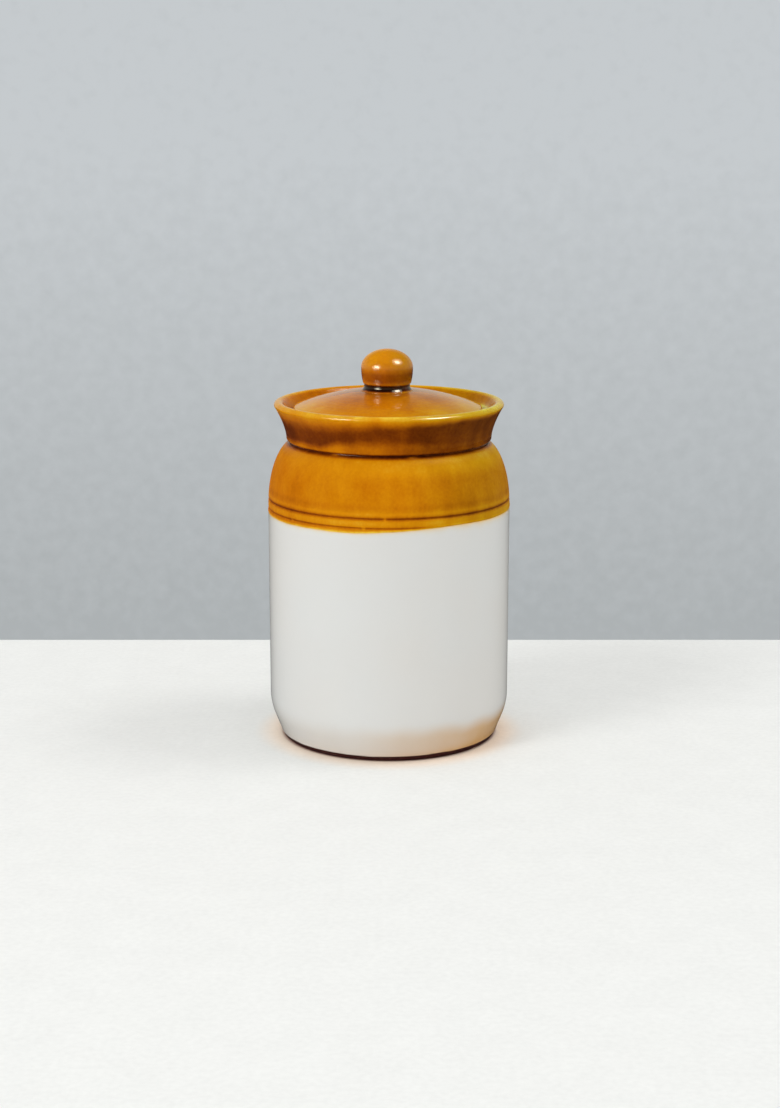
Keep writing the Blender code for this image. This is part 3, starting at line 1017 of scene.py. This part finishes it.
jarAmber = amberGlaze("jar_amber_glaze", 0.09, 0.18, 0.05, (1.0, 0.72, 0.2), glassy=True)
lidAmber = amberGlaze("lid_amber_glaze", 0.09, 0.08, 0.45, (1.0, 0.98, 0.58))
knobAmber = amberGlaze("knob_amber_glaze", 0.024, 0.08, 0.36, (1.0, 0.94, 0.74))
white = whiteGlaze("white_glaze", 0.14)


def plain(value, line):
    # the same shade at every point of a line
    return lambda angle: [value] * len(line)


body = turnOnWheel("pickle_jar_body", bodyLine, whiteJar["columns"],
                   {"bare": bodyBare, "toast": bodyToast, "stain": bodyStain, "flash": bodyFlash})
fitPiece(body, white, "jar", "jar_body")

coat = turnOnWheel("pickle_jar_amber", coatLine, amberCoat["columns"],
                   {"pool": coatPool, "dull": coatDull, "wet": coatWet}, ring=True)
fitPiece(coat, jarAmber, "jar", "jar_amber_glaze")

lidClay = turnOnWheel("lid_clay", lidClayLine, lidShape["columns"],
                      {"bare": lidBare, "toast": plain(0.3, lidClayLine(0.0))})
lidClay.location = (lidShape["aside"][0] / 1000, lidShape["aside"][1] / 1000, 0.0)
fitPiece(lidClay, white, "lid", "lid_body")

lidCoat = turnOnWheel("lid_amber", lidCoatLine, lidShape["columns"],
                      {"pool": lidPool, "dull": plain(lidDepth["dull"], lidCoatLine(0.0))}, ring=True)
lidCoat.location = lidClay.location
fitPiece(lidCoat, lidAmber, "lid", "lid_amber_glaze")

ball = turnOnWheel("lid_ball_knob", lambda angle: knobRows, knob["columns"],
                   {"pool": knobPool, "dull": knobDull})
ball.location = (knob["aside"][0] / 1000, knob["aside"][1] / 1000, 0.0)
fitPiece(ball, knobAmber, "lid", "lid_knob")


# Studio

studio = {
    "cameraPlace": (0.5, -924.0, 288.0),
    "cameraPitch": 12.56,       # downward
    "lens": 68.13,
    "wallBehind": 158.0,        # the wall's distance behind the jar's axis
    "floorColour": (0.81, 0.815, 0.79),
    "floorMottle": (0.955, 1.03),
    "paintedBounceLight": (1.10, 0.92, 0.78),  # painted warm bounce light on the table by the foot, fading over these metres from the axis
    "paintedBounceFades": (0.048, 0.063),
    "paintedContactShadow": (0.30, 0.07, 0.04),  # painted contact shadow under the foot's edge
    "paintedContactShadowFades": (0.0474, 0.0494),
    "wallLow": (0.42, 0.445, 0.455),
    "wallHigh": (0.565, 0.595, 0.615),
    "wallHighAt": 0.26,         # metres up the wall
    "ambient": (0.81, 0.815, 0.82),
    "horizon": (0.60, 0.59, 0.53),
    "ceiling": (0.03, 0.03, 0.03),
    "horizonStarts": -5.0,      # elevations where the pale horizon starts, and between which it turns dark
    "horizonEnds": 12.0,
    "ceilingStarts": 42.0,
}
lamps = {  # azimuth from the camera's side, + to the right. A soft lamp lights, gloss shows only the glints
    "soft_left": {"azimuth": -50.0, "elevation": 40.0, "distance": 2.2, "width": 0.80, "light": 0.26},
    "soft_right": {"azimuth": 92.0, "elevation": 58.0, "distance": 2.2, "width": 0.80, "light": 0.175},
    "glint_left": {"azimuth": -49.0, "elevation": 15.0, "distance": 2.0, "width": 0.72, "radiance": 30.0},
    "glint_right": {"azimuth": 66.0, "elevation": 50.0, "distance": 2.0, "width": 0.72, "radiance": 30.0},
    "halo_left": {"azimuth": -49.0, "elevation": 15.0, "distance": 1.95, "width": 1.40, "radiance": 6.0},
    "halo_right": {"azimuth": 66.0, "elevation": 50.0, "distance": 1.95, "width": 1.40, "radiance": 6.0},
}


def makeFloor():
    bpy.ops.mesh.primitive_grid_add(x_subdivisions=8, y_subdivisions=8, size=12.0)
    floor = bpy.context.object
    floor.name = "table_top"
    material, tree, shader, coords = startMaterial("table_top")
    mottle = added(tree, noiseAt(tree, coords, 420.0, 3.0), noiseAt(tree, coords, 60.0, 2.0), 0.5)
    dark, pale = (tuple(c * share for c in studio["floorColour"]) for share in studio["floorMottle"])
    light = mixColours(tree, added(tree, 0.5, mottle, 1.6), dark, pale)
    apart = place(tree, "VectorMath", {0: coords}, operation="LENGTH").outputs["Value"]
    # painted warm bounce light round the foot
    near = mapped(tree, apart, *studio["paintedBounceFades"], 1.0, 0.0, interpolation_type="SMOOTHSTEP")
    glow = mixColours(tree, near, (1.0, 1.0, 1.0), studio["paintedBounceLight"])
    # painted contact shadow under the foot's edge
    under = mapped(tree, apart, *studio["paintedContactShadowFades"], 1.0, 0.0)
    glow = mixColours(tree, under, glow, studio["paintedContactShadow"])
    tree.links.new(mixColours(tree, 1.0, light, glow, "MULTIPLY"), shader.inputs["Base Color"])
    shader.inputs["Roughness"].default_value = 0.75
    shader.inputs["Specular IOR Level"].default_value = 0.2
    floor.data.materials.append(material)
    floor.visible_glossy = False


def makeWall():
    # glows evenly in its own colours, and is seen from the front by the camera alone
    bpy.ops.mesh.primitive_plane_add(size=1.0)
    wall = bpy.context.object
    wall.name = "back_wall"
    wall.data.transform(Matrix.Rotation(pi / 2, 4, "X"))
    wall.scale = (6.0, 1.0, 2.4)
    wall.location = (0.0, studio["wallBehind"] / 1000, 1.2)
    material = bpy.data.materials.new("back_wall")
    material.use_nodes = True
    tree = material.node_tree
    tree.nodes.clear()
    output = place(tree, "OutputMaterial")
    where = place(tree, "NewGeometry")
    height = place(tree, "SeparateXYZ", {"Vector": where.outputs["Position"]}).outputs["Z"]
    up = mapped(tree, height, 0.0, studio["wallHighAt"])
    up = added(tree, up, noiseAt(tree, where.outputs["Position"], 160.0, 4.0), 0.5)
    colour = mixColours(tree, up, studio["wallLow"], studio["wallHigh"])
    glow = place(tree, "Emission", {"Color": colour, "Strength": 1.0}).outputs[0]
    clear = place(tree, "BsdfTransparent").outputs[0]
    oneSided = place(tree, "MixShader", {0: where.outputs["Backfacing"], 1: glow, 2: clear})
    tree.links.new(oneSided.outputs[0], output.inputs["Surface"])
    wall.data.materials.append(material)
    wall.visible_diffuse = False
    wall.visible_glossy = False
    wall.visible_shadow = False


def makeLamps():
    centre = Vector((0.0, 0.0, 0.09))
    for name, lamp in lamps.items():
        data = bpy.data.lights.new(name, "AREA")
        data.shape = "DISK"
        data.size = lamp["width"]
        area = pi * lamp["width"] ** 2 / 4
        radiance = lamp.get("radiance") or lamp["light"] * pi * lamp["distance"] ** 2 / area
        data.energy = radiance * pi * area
        light = bpy.data.objects.new(name, data)
        turn, rise = radians(lamp["azimuth"]), radians(lamp["elevation"])
        away = Vector((sin(turn) * cos(rise), -cos(turn) * cos(rise), sin(rise)))
        light.location = centre + away * lamp["distance"]
        light.rotation_euler = (-away).to_track_quat("-Z", "Y").to_euler()
        light.visible_camera = False
        light.visible_glossy = "radiance" in lamp
        light.visible_diffuse = "light" in lamp
        bpy.context.scene.collection.objects.link(light)


def makeWorld():
    # even light from all round. Camera and gloss see a pale horizon under a dark ceiling
    world = bpy.data.worlds.new("studio")
    world.use_nodes = True
    tree = world.node_tree
    background = tree.nodes["Background"]
    way = place(tree, "SeparateXYZ", {"Vector": place(tree, "TexCoord").outputs["Generated"]}).outputs["Z"]
    elevations = [sin(radians(studio[name])) for name in ("horizonStarts", "horizonEnds", "ceilingStarts")]
    low = mapped(tree, way, elevations[0] - 0.06, elevations[0])
    high = mapped(tree, way, elevations[1], elevations[2])
    high = maths(tree, "SUBTRACT", 1.0, high)
    pale = maths(tree, "MULTIPLY", low, high)
    seen = mixColours(tree, pale, studio["ceiling"], studio["horizon"])
    ray = place(tree, "LightPath").outputs
    visible = added(tree, ray["Is Camera Ray"], ray["Is Glossy Ray"])
    visible = maths(tree, "ADD", visible, ray["Is Transmission Ray"], clamp=True)
    tree.links.new(mixColours(tree, visible, studio["ambient"], seen), background.inputs["Color"])
    bpy.context.scene.world = world


def makeCamera():
    data = bpy.data.cameras.new("camera")
    data.sensor_width = 36.0
    data.lens = studio["lens"]
    data.clip_start = 0.05
    data.clip_end = 30.0
    camera = bpy.data.objects.new("camera", data)
    camera.location = [p / 1000 for p in studio["cameraPlace"]]
    camera.rotation_euler = (radians(90 - studio["cameraPitch"]), 0.0, 0.0)
    bpy.context.scene.collection.objects.link(camera)
    bpy.context.scene.camera = camera


makeFloor()
makeWall()
makeLamps()
makeWorld()
makeCamera()
bpy.context.scene.view_settings.view_transform = "Standard"
print("studio ready")
